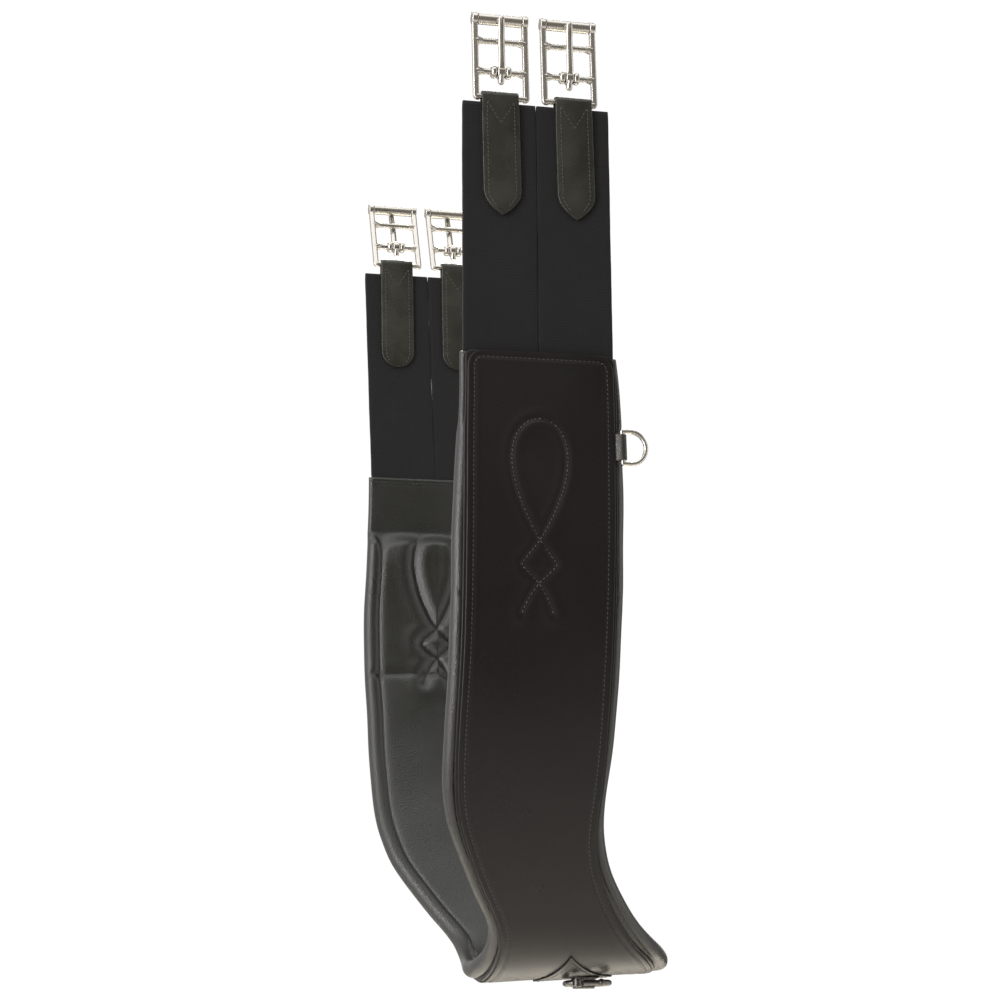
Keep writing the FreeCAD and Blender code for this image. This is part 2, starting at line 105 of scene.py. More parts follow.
def spline(points):
    """Smooth even curve through (s, x) points, for arrays of s."""
    s = np.array([-p[0] for p in points[:0:-1]] + [p[0] for p in points], float)
    x = np.array([p[1] for p in points[:0:-1]] + [p[1] for p in points], float)
    n = len(s)
    h = np.diff(s)
    a = np.eye(n)
    b = np.zeros(n)
    for i in range(1, n - 1):
        a[i, i - 1:i + 2] = (h[i - 1], 2 * (h[i - 1] + h[i]), h[i])
        b[i] = 6 * ((x[i + 1] - x[i]) / h[i] - (x[i] - x[i - 1]) / h[i - 1])
    m = np.linalg.solve(a, b)

    def value(at):
        at = np.clip(np.asarray(at, float), s[0], s[-1])
        i = np.clip(np.searchsorted(s, at) - 1, 0, n - 2)
        u = (s[i + 1] - at) / h[i]
        v = (at - s[i]) / h[i]
        return u * x[i] + v * x[i + 1] + ((u ** 3 - u) * m[i] + (v ** 3 - v) * m[i + 1]) * h[i] ** 2 / 6

    return value


roll_left = spline(ROLL_LEFT)
roll_right = spline(ROLL_RIGHT)
panel_left = spline(PANEL_LEFT)
panel_right = spline(PANEL_RIGHT)


def middle(s):
    """Half gap, height and slope of the middle layer at distance |s| from the lowest point."""
    s = np.abs(np.asarray(s, float))
    s1 = BEND_RADIUS * SLOPE
    s2 = s1 + LEAN_LENGTH
    s3 = s2 + LEG_RADIUS * LEG_LEAN
    a1 = np.clip(s / BEND_RADIUS, 0, SLOPE)
    gap = BEND_RADIUS * np.sin(a1)
    height = MIDDLE_LIFT + BEND_RADIUS * (1 - np.cos(a1))
    t = np.clip(s - s1, 0, LEAN_LENGTH)
    gap = gap + t * math.cos(SLOPE)
    height = height + t * math.sin(SLOPE)
    a2 = SLOPE + np.clip(s - s2, 0, LEG_RADIUS * LEG_LEAN) / LEG_RADIUS
    gap = gap + LEG_RADIUS * (np.sin(a2) - math.sin(SLOPE))
    height = height + LEG_RADIUS * (math.cos(SLOPE) - np.cos(a2))
    height = height + np.clip(s - s3, 0, None)
    return gap, height, np.where(s < s1, a1, a2)


def smooth(t):
    """Rises from 0 to 1 with level ends."""
    t = np.clip(t, 0, 1)
    return t * t * (3 - 2 * t)


def place(s, x, n):
    """Points in mm; s > 0 is the front leg, n is outward from the middle layer."""
    s, x, n = np.broadcast_arrays(np.asarray(s, float), np.asarray(x, float), np.asarray(n, float))
    gap, height, a = middle(s)
    sign = np.where(s >= 0, -1.0, 1.0)
    rise = 0.049 * (x + 10) - 3.4 * smooth((x - 104) / 16)
    height = height + rise * smooth(1 - np.abs(s) / 50)
    return np.stack([x, sign * (gap + n * np.sin(a)), LOW + height - n * np.cos(a)], -1)


def out_normal(s):
    """Direction away from the horse at distance s."""
    _, _, a = middle(s)
    sign = np.where(np.asarray(s) >= 0, -1.0, 1.0)
    return np.stack([np.zeros_like(a), sign * np.sin(a), -np.cos(a)], -1)


def bump(d, width):
    """Rounded ridge of height 1 where d is 0."""
    return np.exp(-(d / width) ** 2)


# ---------------------------------------------------------------- materials
def new_material(name):
    """New node material: its name, its node tree and its main shader."""
    mat = bpy.data.materials.new(name)
    mat.use_nodes = True
    tree = mat.node_tree
    return mat, tree, tree.nodes["Principled BSDF"]


def leather(name, dark, light, rough, grain, depth, level, cloud=14.0):
    """Grained leather: fine cells and noise as relief, cloudy colour and shine."""
    mat, tree, shader = new_material(name)
    nodes, links = tree.nodes, tree.links
    coord = nodes.new("ShaderNodeTexCoord")
    big = nodes.new("ShaderNodeTexNoise")
    big.inputs["Scale"].default_value = cloud
    big.inputs["Detail"].default_value = 2.0
    mix = nodes.new("ShaderNodeMix")
    mix.data_type = "RGBA"
    mix.inputs["A"].default_value = (*dark, 1)
    mix.inputs["B"].default_value = (*light, 1)
    cells = nodes.new("ShaderNodeTexVoronoi")
    cells.inputs["Scale"].default_value = grain
    cells.inputs["Randomness"].default_value = 0.9
    noise = nodes.new("ShaderNodeTexNoise")
    noise.inputs["Scale"].default_value = grain * 1.7
    noise.inputs["Detail"].default_value = 4.0
    add = nodes.new("ShaderNodeMath")
    add.operation = "ADD"
    bumper = nodes.new("ShaderNodeBump")
    bumper.inputs["Strength"].default_value = depth
    bumper.inputs["Distance"].default_value = 0.0005
    ramp = nodes.new("ShaderNodeMapRange")
    ramp.interpolation_type = "SMOOTHSTEP"
    ramp.inputs["From Min"].default_value = 0.2
    ramp.inputs["From Max"].default_value = 0.8
    ramp.inputs["To Min"].default_value = rough - 0.06
    ramp.inputs["To Max"].default_value = rough + 0.08
    for node in (big, cells, noise):
        links.new(coord.outputs["Object"], node.inputs["Vector"])
    links.new(big.outputs["Fac"], mix.inputs["Factor"])
    links.new(mix.outputs["Result"], shader.inputs["Base Color"])
    links.new(big.outputs["Fac"], ramp.inputs["Value"])
    links.new(ramp.outputs["Result"], shader.inputs["Roughness"])
    links.new(cells.outputs["Distance"], add.inputs[0])
    links.new(noise.outputs["Fac"], add.inputs[1])
    links.new(add.outputs["Value"], bumper.inputs["Height"])
    links.new(bumper.outputs["Normal"], shader.inputs["Normal"])
    shader.inputs["Specular IOR Level"].default_value = level
    return mat


def woven(name, dark, light):
    """Elastic webbing: fine ribs along the strap and weft rows across it."""
    mat, tree, shader = new_material(name)
    nodes, links = tree.nodes, tree.links
    coord = nodes.new("ShaderNodeTexCoord")
    ribs = nodes.new("ShaderNodeTexWave")
    ribs.bands_direction = "X"
    ribs.inputs["Scale"].default_value = 190.0
    ribs.inputs["Distortion"].default_value = 0.6
    ribs.inputs["Detail"].default_value = 1.0
    rows = nodes.new("ShaderNodeTexWave")
    rows.bands_direction = "Z"
    rows.inputs["Scale"].default_value = 150.0
    rows.inputs["Distortion"].default_value = 0.8
    cloud = nodes.new("ShaderNodeTexNoise")
    cloud.inputs["Scale"].default_value = 30.0
    cloud.inputs["Detail"].default_value = 8.0
    mix = nodes.new("ShaderNodeMix")
    mix.data_type = "RGBA"
    mix.inputs["A"].default_value = (*dark, 1)
    mix.inputs["B"].default_value = (*light, 1)
    weave = nodes.new("ShaderNodeMath")
    weave.operation = "MULTIPLY"
    tone = nodes.new("ShaderNodeMath")
    tone.operation = "MULTIPLY"
    bumper = nodes.new("ShaderNodeBump")
    bumper.inputs["Strength"].default_value = 0.3
    bumper.inputs["Distance"].default_value = 0.0004
    for node in (ribs, rows, cloud):
        links.new(coord.outputs["Object"], node.inputs["Vector"])
    links.new(ribs.outputs["Fac"], weave.inputs[0])
    links.new(rows.outputs["Fac"], weave.inputs[1])
    links.new(weave.outputs["Value"], tone.inputs[0])
    links.new(cloud.outputs["Fac"], tone.inputs[1])
    links.new(tone.outputs["Value"], mix.inputs["Factor"])
    links.new(mix.outputs["Result"], shader.inputs["Base Color"])
    links.new(weave.outputs["Value"], bumper.inputs["Height"])
    links.new(bumper.outputs["Normal"], shader.inputs["Normal"])
    shader.inputs["Roughness"].default_value = 0.85
    shader.inputs["Sheen Weight"].default_value = 0.03
    shader.inputs["Specular IOR Level"].default_value = 0.25
    return mat


def steel(name, colour, rough):
    """Polished steel with faint smears and tumbled marks."""
    mat, tree, shader = new_material(name)
    nodes, links = tree.nodes, tree.links
    coord = nodes.new("ShaderNodeTexCoord")
    noise = nodes.new("ShaderNodeTexNoise")
    noise.inputs["Scale"].default_value = 260.0
    noise.inputs["Detail"].default_value = 6.0
    ramp = nodes.new("ShaderNodeMapRange")
    ramp.inputs["To Min"].default_value = rough - 0.05
    ramp.inputs["To Max"].default_value = rough + 0.09
    bumper = nodes.new("ShaderNodeBump")
    bumper.inputs["Strength"].default_value = 0.08
    bumper.inputs["Distance"].default_value = 0.0004
    links.new(coord.outputs["Object"], noise.inputs["Vector"])
    links.new(noise.outputs["Fac"], ramp.inputs["Value"])
    links.new(ramp.outputs["Result"], shader.inputs["Roughness"])
    links.new(noise.outputs["Fac"], bumper.inputs["Height"])
    links.new(bumper.outputs["Normal"], shader.inputs["Normal"])
    shader.inputs["Metallic"].default_value = 1.0
    shader.inputs["Base Color"].default_value = (*colour, 1)
    return mat


def thread(name, colour):
    """Sewing thread of one colour."""
    mat, tree, shader = new_material(name)
    nodes, links = tree.nodes, tree.links
    coord = nodes.new("ShaderNodeTexCoord")
    twist = nodes.new("ShaderNodeTexNoise")
    twist.inputs["Scale"].default_value = 2600.0
    bumper = nodes.new("ShaderNodeBump")
    bumper.inputs["Strength"].default_value = 0.4
    bumper.inputs["Distance"].default_value = 0.0002
    links.new(coord.outputs["Object"], twist.inputs["Vector"])
    links.new(twist.outputs["Fac"], bumper.inputs["Height"])
    links.new(bumper.outputs["Normal"], shader.inputs["Normal"])
    shader.inputs["Base Color"].default_value = (*colour, 1)
    shader.inputs["Roughness"].default_value = 0.6
    return mat


outer_leather = leather("outer_leather", (0.0090, 0.0080, 0.0075), (0.0114, 0.0102, 0.0096),
                        rough=0.31, grain=1500.0, depth=0.16, level=0.27)
tab_leather = leather("tab_leather", (0.0060, 0.0062, 0.0044), (0.0400, 0.0402, 0.0315),
                      rough=0.26, grain=1300.0, depth=0.24, level=0.45, cloud=42.0)
lining_leather = leather("lining_leather", (0.0135, 0.0140, 0.0116), (0.0190, 0.0197, 0.0163),
                         rough=0.29, grain=950.0, depth=0.38, level=0.54)
elastic_cloth = woven("elastic_cloth", (0.0082, 0.0080, 0.0083), (0.0205, 0.0200, 0.0207))
polished = steel("polished_steel", (0.52, 0.50, 0.462), 0.24)
dark_steel = steel("dark_steel", (0.13, 0.125, 0.118), 0.32)
dark_thread = thread("dark_thread", (0.036, 0.034, 0.031))
# The motif's thread is lighter than the row's: the thread's own dark colour with a painted highlight of
# its stitches catching light.
motif_thread_painted_highlight = thread("motif_thread_painted_highlight", (0.085, 0.080, 0.074))
soft_thread = thread("soft_thread", (0.024, 0.025, 0.024))
tab_thread = thread("tab_thread", (0.040, 0.041, 0.033))


# ---------------------------------------------------------------- mesh helpers
def mesh_object(name, verts, faces, mat, slot):
    """Smooth-shaded object from points in millimetres, in one material slot."""
    mesh = bpy.data.meshes.new(name)
    mesh.from_pydata((np.asarray(verts) * MM).tolist(), [], faces)
    work = bmesh.new()
    work.from_mesh(mesh)
    bmesh.ops.recalc_face_normals(work, faces=work.faces)
    work.to_mesh(mesh)
    work.free()
    mesh.materials.append(mat)
    mesh.polygons.foreach_set("use_smooth", [True] * len(mesh.polygons))
    obj = bpy.data.objects.new(name, mesh)
    bpy.context.scene.collection.objects.link(obj)
    return obj


def tube(rings):
    """Vertices and faces of a closed skin over rings of points (K, M, 3), with flat ends."""
    rings = np.asarray(rings)
    count, around = rings.shape[:2]
    faces = []
    for i in range(count - 1):
        for j in range(around):
            k = (j + 1) % around
            faces.append((i * around + j, i * around + k, (i + 1) * around + k, (i + 1) * around + j))
    faces.append(tuple(range(around - 1, -1, -1)))
    faces.append(tuple((count - 1) * around + j for j in range(around)))
    return rings.reshape(-1, 3), faces


def blend_body(obj):
    """Bakes the girth body piece's placement into its mesh."""
    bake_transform(obj)


def strip(path, out, across, half, thick, edge=0.55):
    """Rings of a flat strap: centre line, outward normals, one width direction, half widths."""
    path, out = np.asarray(path, float), np.asarray(out, float)
    across = np.asarray(across, float)
    half = np.broadcast_to(np.asarray(half, float), (len(path),))
    h = thick / 2
    rings = []
    for p, o, w in zip(path, out, half):
        e = min(edge, w * 0.8)
        ring = []
        for cx, cn, a0 in ((1, 1, 0), (-1, 1, 90), (-1, -1, 180), (1, -1, 270)):
            for a in (0, 30, 60, 90):
                t = math.radians(a0 + a)
                wide = cx * (w - e) + e * math.cos(t)
                deep = cn * (h - e) + e * math.sin(t)
                ring.append(p + across * wide + o * deep)
        rings.append(ring)
    return rings


STITCH_RING = [(math.cos(math.radians(a)), math.sin(math.radians(a))) for a in range(0, 360, 60)]


def stitches(points, normals, pitch=3.2, length=2.5, radius=0.34, lift=0.05):
    """One sunk, slightly slanted thread capsule every pitch along a path."""
    points = np.asarray(points, float)
    normals = np.asarray(normals, float)
    step = np.linalg.norm(np.diff(points, axis=0), axis=1)
    along = np.concatenate([[0], np.cumsum(step)])
    count = max(1, int(along[-1] / pitch))
    at = (np.arange(count) + 0.5) * along[-1] / count
    centre = np.stack([np.interp(at, along, points[:, k]) for k in range(3)], -1)
    ahead = np.stack([np.interp(at + 0.4, along, points[:, k]) for k in range(3)], -1)
    behind = np.stack([np.interp(at - 0.4, along, points[:, k]) for k in range(3)], -1)
    up = np.stack([np.interp(at, along, normals[:, k]) for k in range(3)], -1)
    verts, faces = [], []
    for c, a, b, n in zip(centre, ahead, behind, up):
        t = a - b
        t = t / max(1e-9, np.linalg.norm(t))
        n = n / np.linalg.norm(n)
        w = np.cross(n, t)
        t = t + 0.16 * w
        t = t / np.linalg.norm(t)
        base = len(verts)
        c = c + n * lift
        for f, r in ((-0.5, 0.35), (-0.36, 1.0), (0.36, 1.0), (0.5, 0.35)):
            for u, v in STITCH_RING:
                drop = -0.25 if abs(f) == 0.5 else 0.0
                verts.append(c + t * f * length + w * u * radius * r + n * (v * radius * 0.8 * r + drop))
        for k in range(3):
            for j in range(6):
                m = (j + 1) % 6
                o = base + k * 6
                faces.append((o + j, o + m, o + 6 + m, o + 6 + j))
        faces.append(tuple(base + j for j in range(5, -1, -1)))
        faces.append(tuple(base + 18 + j for j in range(6)))
    return verts, faces


def merge(parts):
    """One list of vertices and faces from several."""
    verts, faces = [], []
    for v, f in parts:
        base = len(verts)
        verts.extend(v)
        faces.extend([tuple(i + base for i in face) for face in f])
    return verts, faces


# ---------------------------------------------------------------- quilted motif
# top of the drop, crossing, side and end of the diamond, end of the tails, half width of the drop
PANEL_MOTIF = (405.8, 325.5, 310.0, 298.0, 278.5, 18.8)
SKIN_MOTIF = (409.0, 328.0, 316.0, 304.5, 284.5, 17.6)
MOTIF_X = -5.0


def motif_centre(s):
    """Middle line of the motif, which leans a little across the panel."""
    return -5.4 + 0.02 * (s - 305.0)


def motif_paths(sizes):
    """Stitched lines as (s, x) point lists: drop, diamond and two tails."""
    top, cross, side, end, tail, half = sizes
    drop = []
    for u in np.linspace(0, 2 * math.pi, 121):
        v = u if u <= math.pi else 2 * math.pi - u
        x = 1.298 * half * math.sin(v) * math.sin(v / 2)
        s = cross + (1 - math.cos(v)) / 2 * (top - cross)
        drop.append((s, motif_centre(s) + (x if u <= math.pi else -x)))
    paths = [drop]
    for sign in (-1, 1):
        diamond = [(cross, 0), (side + 4.5, 8.7), (side + 1, 11.4), (side - 1, 11.4),
                   (side - 4, 8.3), (end, 0)]
        legs = [(end, 0), (end - 7, 5.0), (end - 14, 8.6), (tail, 10.6)]
        for line in (diamond, legs):
            paths.append([(s, motif_centre(s) + sign * x) for s, x in line])
    return [np.array(path) for path in paths]


def polyline(points, count=None, step=1.0):
    """Evenly spaced points along a line: count of them, or one about every step."""
    points = np.asarray(points, float)
    seg = np.linalg.norm(np.diff(points, axis=0), axis=1)
    along = np.concatenate([[0], np.cumsum(seg)])
    if count is None:
        count = max(2, int(along[-1] / step) + 1)
    at = np.linspace(0, along[-1], count)
    return np.stack([np.interp(at, along, points[:, k]) for k in range(points.shape[1])], -1)


PANEL_LINES = motif_paths(PANEL_MOTIF)
SKIN_LINES = motif_paths(SKIN_MOTIF)


def motif_distance(s, x, lines):
    """Distance in mm from each (s, x) to the stitched motif, and how far along it; far points get 99."""
    points = np.concatenate([polyline(p) for p in lines])
    s, x = np.broadcast_arrays(np.abs(np.asarray(s, float)), np.asarray(x, float))
    out = np.full(s.shape, 99.0)
    run = np.zeros(s.shape)
    near = (s > 262) & (s < 430) & (np.abs(x - MOTIF_X) < 40)
    if near.any():
        q = np.stack([s[near], x[near]], -1)
        gap = np.sqrt(((q[:, None] - points[None]) ** 2).sum(-1))
        out[near] = gap.min(1)
        run[near] = gap.argmin(1)
    return out, run


def ripple(s, x, size=1.0):
    """Slow unevenness of hand-finished leather, the same each run."""
    return size * (np.sin(s * 0.043 + 1.3) * np.sin(x * 0.071 + 0.4) * 0.5
                   + np.sin(s * 0.117 + x * 0.05) * 0.25 + np.sin(s * 0.021 - x * 0.13 + 2.0) * 0.25)


# ---------------------------------------------------------------- padded, lined body
CREASE = 291.0
HEM_START = 394.0
HEM_BLEND = 13.0
HEM_ROW = 446.5


def body_stations():
    """Places along the girth where the body's skin has a ring, closer where it is quilted."""
    half = list(np.arange(0, 262, 3.0)) + list(np.arange(262, 424, 1.5))
    half += list(np.arange(424, 446, 2.2))
    half += [446.5, 448, 449.2, 450.2, 450.8, 451.0]
    half = sorted(set(round(v, 3) for v in half))
    return np.array([-v for v in half[:0:-1]] + half)


def end_round(s, reach):
    """Share of full thickness near the sewn top end, so that the edge is rounded."""
    t = np.clip((np.abs(s) - (BODY_HALF - reach)) / reach, 0, 1)
    return np.sqrt(np.clip(1 - t * t * 0.97, 0, 1))


def hem(s):
    """0 where the body is padded, 1 on the flat sewn hem at the top."""
    return smooth((np.abs(s) - HEM_START) / HEM_BLEND)


def skin_level(s, x, left, right):
    """Distance n of the face against the horse, puffed between its sewn lines."""
    d = np.minimum(x - left, right - x)
    corner = bump(d - 8.0, 9.0)
    t = smooth((np.abs(s) - HEM_START + 9.0 * corner) / (HEM_BLEND + 9.0 * corner))
    u = (x - (left + right) / 2) / ((right - left) / 2)
    dist, run = motif_distance(s, x, SKIN_LINES)
    pad = -8.1 - 1.6 * (1 - u ** 2) ** 2
    pad = pad + 2.1 * np.exp(-np.abs(d - 11.0) / 2.6) * smooth((404.0 - np.abs(s)) / 10.0)
    pad = pad + 4.0 * np.exp(-dist / 3.2) - 1.2 * bump(dist - 9.0, 6.0)
    pad = pad + 0.22 * np.sin(run * 2.1 + s * 0.3) * bump(dist - 1.5, 2.6)
    from_crease = np.abs(np.abs(s) - CREASE)
    crease = 3.0 * np.exp(-from_crease / 2.2) * smooth((dist - 1.0) / 4.0 + 0.2)
    pad = pad + crease * smooth((d - 3.0) / 6.0)
    pad = pad - 0.6 * bump(np.abs(s) - 387.0, 6.0) * smooth((d - 12.0) / 10.0)
    pad = pad + ripple(s, x, 0.4)
    rows = 0.35 * bump(np.abs(s) - HEM_ROW, 1.0) + 0.3 * bump(d - 4.0, 0.9)
    flat = -0.2 + ripple(s, x, 0.15) + rows
    return pad * (1 - t) + flat * t


def padded_body():
    """Lining leather drawn over the padding: rolled edges, quilted face, flat hem at each end."""
    stations = body_stations()
    arc = np.radians(np.linspace(90, 270, 17))
    far_arc = np.radians(np.linspace(-90, 90, 17))
    border = np.concatenate([[0.3, 0.8], np.arange(1.5, 16.0, 0.72)])
    back = np.array([0.0, 0.02, 0.04, 0.07, 0.12, 0.3, 0.5, 0.7, 0.88, 0.93, 0.96, 0.98, 1.0])
    rings = []
    for s in stations:
        left, right = float(roll_left(s)), float(roll_right(s))
        t = float(hem(s))
        top = 4.9 + 1.0 * t
        low = -8.1 + 7.9 * t
        pinch = 1.0 - 0.16 * float(bump(abs(s) - CREASE, 3.0))
        rx = (5.9 - 2.9 * t) * pinch
        hn, cn = (top - low) / 2 * pinch, (top + low) / 2
        wob = 0.25 * math.sin(s * 0.09) * math.sin(s * 0.023 + 1)
        lx = left + wob * (1 - t)
        rx0 = right + wob * (1 - t)
        ring = [(lx + rx + rx * math.cos(a), cn + hn * math.sin(a)) for a in arc]
        inner = np.linspace(lx + rx + 16.2, rx0 - rx - 16.2, 74)
        xs = np.concatenate([lx + rx + border, inner, (rx0 - rx - border)[::-1]])
        level = skin_level(np.full(xs.shape, s), xs, lx, rx0)
        edge = cn - hn
        fade = smooth(np.minimum(xs - lx - rx, rx0 - rx - xs) / 5.0)
        ring += list(zip(xs, edge * (1 - fade) + level * fade))
        ring += [(rx0 - rx + rx * math.cos(a), cn + hn * math.sin(a)) for a in far_arc]
        xb = (rx0 - rx) - (rx0 - lx - 2 * rx) * back[1:-1]
        d = np.minimum(xb - lx - rx, rx0 - rx - xb)
        valley = 3.6 + 1.6 * t
        nb = top + (valley - top) * smooth(d / 1.8) + (5.2 - valley) * smooth((d - 3.0) / 4.0)
        ring += list(zip(xb, nb))
        pts = np.array(ring)
        shrink = float(end_round(s, 2.2))
        pts[:, 1] = cn + (pts[:, 1] - cn) * shrink
        rings.append(place(s, pts[:, 0], pts[:, 1]))
    verts, faces = tube(rings)
    obj = mesh_object("padded_lining", verts, faces, lining_leather, "lining_leather")
    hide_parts("front_lining", "rear_lining", "front_padding", "rear_padding")
    blend_body(obj)
    return obj


# ---------------------------------------------------------------- base leather and outer panel
BASE_CORNER = 4.0
PANEL_CORNER = 11.0


def rounded_ends(s, left, right, radius):
    """Outline pulled in at the two upper corners of each leg."""
    t = np.clip(np.abs(s) - (BODY_HALF - radius), 0, radius)
    inset = radius - np.sqrt(np.clip(radius ** 2 - t ** 2, 0, None))
    return left + inset, right - inset


def panel_level(s, x):
    """Distance n of the outer panel's face: soft crown, sewn rows and the pressed motif."""
    left, right = panel_left(s), panel_right(s)
    centre, half = (left + right) / 2, (right - left) / 2
    u = (x - centre) / half
    dist, _ = motif_distance(s, x, PANEL_LINES)
    level = 8.55 + 0.55 * np.clip(1 - u ** 2, 0, 1) * smooth(np.abs(s) / 120)
    level = level - 0.8 * bump(dist, 1.1) + 0.5 * bump(dist - 4.0, 3.4)
    d = np.minimum(x - left, right - x)
    top = BODY_HALF - np.abs(s)
    row = np.minimum(d, top)
    level = level - 0.4 * bump(row - 4.5, 0.9) + 0.15 * bump(row - 7.0, 1.5)
    return level + ripple(s, x, 0.12)


def base_left(s):
    """Left edge of the base leather, just outside the panel."""
    return np.maximum(panel_left(s) - 1.8, roll_left(s) + 3.0)


def base_right(s):
    """Right edge of the base leather."""
    return np.minimum(panel_right(s) + 1.8, roll_right(s) - 3.0)


def base_level(s, x):
    """Distance n of the base leather's flat face."""
    return 7.2 + 0 * x


def sheet_stations(radius):
    """Places along the girth where a leather sheet has a ring, closer at its round corners."""
    half = list(np.arange(0, 262, 3.0)) + list(np.arange(262, 424, 1.3))
    half += list(np.arange(424, BODY_HALF - radius, 2.5))
    half += list(BODY_HALF - radius + radius * np.sin(np.linspace(0, math.pi / 2, 14)))
    half = sorted(set(round(v, 3) for v in half))
    return np.array([-v for v in half[:0:-1]] + half)


def leather_sheet(name, nodes, left, right, n_in, level, radius, count):
    """One sheet of leather along the whole girth, with a softened edge."""
    rings = []
    for s in sheet_stations(radius):
        lx, rx = rounded_ends(s, float(left(s)), float(right(s)), radius)
        lx, rx = float(lx), float(rx)
        xs = lx + 0.75 + (rx - lx - 1.5) * np.linspace(0, 1, count)
        face = level(np.full(xs.shape, s), xs)
        el, er = face[0], face[-1]
        ring = [(lx + 0.5, n_in), (lx + 0.1, n_in + 0.35), (lx, (n_in + el) / 2),
                (lx + 0.08, el - 0.45), (lx + 0.3, el - 0.15)]
        ring += list(zip(xs, face))
        ring += [(rx - 0.3, er - 0.15), (rx - 0.08, er - 0.45), (rx, (n_in + er) / 2),
                 (rx - 0.1, n_in + 0.35), (rx - 0.5, n_in)]
        pts = np.array(ring)
        rings.append(place(s, pts[:, 0], pts[:, 1]))
    verts, faces = tube(rings)
    obj = mesh_object(name, verts, faces, outer_leather, "outer_leather")
    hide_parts(*[end + "_" + node for end in ("front", "rear") for node in nodes])
    blend_body(obj)
    return obj


def row_path(inset, radius):
    """Closed sewing row inside the outer panel's edge, as (s, x) points."""
    r = radius - inset
    end = BODY_HALF - radius
    rail = np.linspace(-end, end, 900)
    path = [(s, float(panel_left(s)) + inset) for s in rail]
    lx, rx = float(panel_left(end)) + radius, float(panel_right(end)) - radius
    path += [(end + r * math.sin(a), lx - r * math.cos(a)) for a in np.linspace(0.1, math.pi / 2, 12)]
    path += [(end + r, x) for x in np.linspace(lx, rx, 60)[1:]]
    path += [(end + r * math.cos(a), rx + r * math.sin(a)) for a in np.linspace(0.1, math.pi / 2, 12)]
    path += [(s, float(panel_right(s)) - inset) for s in rail[::-1]]
    path += [(-end - r * math.sin(a), rx + r * math.cos(a)) for a in np.linspace(0.1, math.pi / 2, 12)]
    path += [(-end - r, x) for x in np.linspace(rx, lx, 60)[1:]]
    path += [(-end - r * math.cos(a), lx - r * math.sin(a)) for a in np.linspace(0.1, math.pi / 2, 12)]
    return np.array(path)


def sewn(path, level, inward=False, **words):
    """Stitches along an (s, x) path that lie on a face of the body."""
    path = polyline(path, step=0.8)
    s, x = path[:, 0], path[:, 1]
    n = level(s, x)
    up = out_normal(s)
    if inward:
        up = -up
    return stitches(place(s, x, n), up, **words)


def lining_level(s, x):
    """Distance n of the lining's face, for the stitches on it."""
    return skin_level(s, x, roll_left(s), roll_right(s))


def sew_body():
    """The row round the panel, the motif on both faces and the rows of the hem."""
    row = sewn(row_path(4.5, PANEL_CORNER), panel_level, pitch=3.1, length=2.4)
    obj = mesh_object("row_stitching", *row, dark_thread, "outer_leather")
    blend_body(obj)
    parts = []
    for path in PANEL_LINES:
        for sign in (1, -1):
            flipped = path * np.array([sign, 1])
            parts.append(sewn(flipped, panel_level, pitch=2.9, length=2.3, radius=0.32))
    obj = mesh_object("motif_stitching", *merge(parts), motif_thread_painted_highlight, "outer_leather")
    blend_body(obj)
    parts = []
    for sign in (1, -1):
        for path in SKIN_LINES:
            parts.append(sewn(path * np.array([sign, 1]), lining_level, True, pitch=3.0, length=2.4))
        across = np.linspace(float(roll_left(446)) + 4, float(roll_right(446)) - 4, 60)
        top = [(sign * HEM_ROW, x) for x in across]
        down = [(sign * s, float(roll_left(s)) + 4.0) for s in np.linspace(446, 414, 20)]
        up = [(sign * s, float(roll_right(s)) - 4.0) for s in np.linspace(446, 414, 20)]
        for path in (top, down, up):
            parts.append(sewn(np.array(path), lining_level, True, pitch=3.2, length=2.5))
    obj = mesh_object("lining_stitching", *merge(parts), soft_thread, "lining_leather")
    blend_body(obj)


# ---------------------------------------------------------------- diamond patch under the middle
PATCH_HALF = 46.0
PATCH_FACE = 9.8


def patch_half(s):
    """Half width of the diamond."""
    t = np.clip(1 - np.abs(s) / PATCH_HALF, 0, 1)
    return 28.0 * t * (0.93 + 0.07 * t)


def patch_centre(s):
    """Middle of the diamond across the girth, which swings towards its points."""
    return 54.0 - 14.0 * np.abs(s) / PATCH_HALF


def patch_level(s, x):
    """Distance n of the diamond's flat face."""
    return PATCH_FACE + 0 * x


def middle_patch():
    """The diamond sewn on under the middle, with its two rows of stitches."""
    half = list(np.linspace(0, 44, 30)) + [45, 45.6, 45.9]
    stations = [-v for v in half[:0:-1]] + half
    rings = []
    for s in stations:
        w, c = float(patch_half(s)) + 0.15, float(patch_centre(s))
        e = min(0.5, w * 0.5)
        xs = np.linspace(c - w + e, c + w - e, 18)
        ring = [(c - w, 8.4), (c - w, 9.4), (c - w + e * 0.3, 9.65)] + [(x, PATCH_FACE) for x in xs]
        ring += [(c + w - e * 0.3, 9.65), (c + w, 9.4), (c + w, 8.4)]
        pts = np.array(ring)
        rings.append(place(s, pts[:, 0], pts[:, 1]))
    obj = mesh_object("middle_patch", *tube(rings), outer_leather, "outer_leather")
    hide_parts("front_middle_patch", "rear_middle_patch")
    blend_body(obj)
    row = []
    for side in (-1, 1):
        line = []
        for s in np.linspace(-40, 40, 60):
            line.append((s, float(patch_centre(s)) + side * (float(patch_half(s)) - 3.2)))
        row.append(np.array(line))
    parts = [sewn(p, patch_level, pitch=2.8, length=2.2, radius=0.3) for p in row]
    obj = mesh_object("patch_stitching", *merge(parts), dark_thread, "outer_leather")
    blend_body(obj)


# ---------------------------------------------------------------- straps, tabs and keepers
STRAP_PHASE = {"front_left": 0.3, "front_right": 1.9, "rear_left": 3.1, "rear_right": 4.4}


